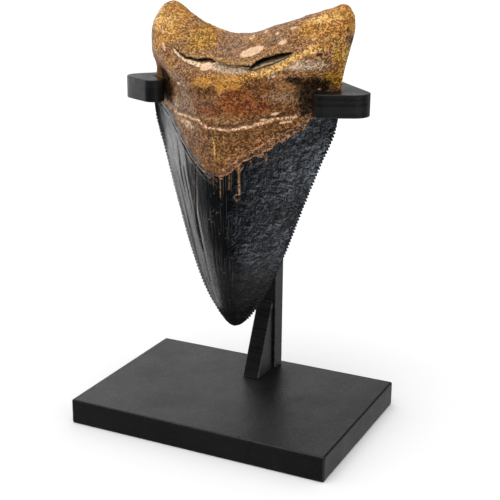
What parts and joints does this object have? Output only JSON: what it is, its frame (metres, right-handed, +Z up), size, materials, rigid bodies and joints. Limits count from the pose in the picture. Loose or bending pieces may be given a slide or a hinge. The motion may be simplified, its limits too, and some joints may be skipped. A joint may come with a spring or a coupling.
{
  "type": "fossil shark tooth on a stand",
  "caption": "Large fossil megalodon tooth with serrated dark crown and two-lobed brown root, held point down by its edges in a cradle on a post above a black slab base.",
  "frame": {"origin": "middle of the underside of the slab base", "axes": "+Z up; -Y is the front, where the rounded face of the tooth looks; the post stands at the back, +Y; +X is the viewer's right from the front"},
  "size_m": [0.12, 0.0828, 0.1827],
  "materials": {
    "stand_plastic": "satin black, fine grain",
    "fossil": "polished black enamel and fine-pitted ochre root"
  },
  "bodies": {
    "root": {"base": "stand_plastic", "post": "stand_plastic", "brace": "stand_plastic", "cradle": "stand_plastic", "tooth": "fossil"}
  },
  "joints": []
}
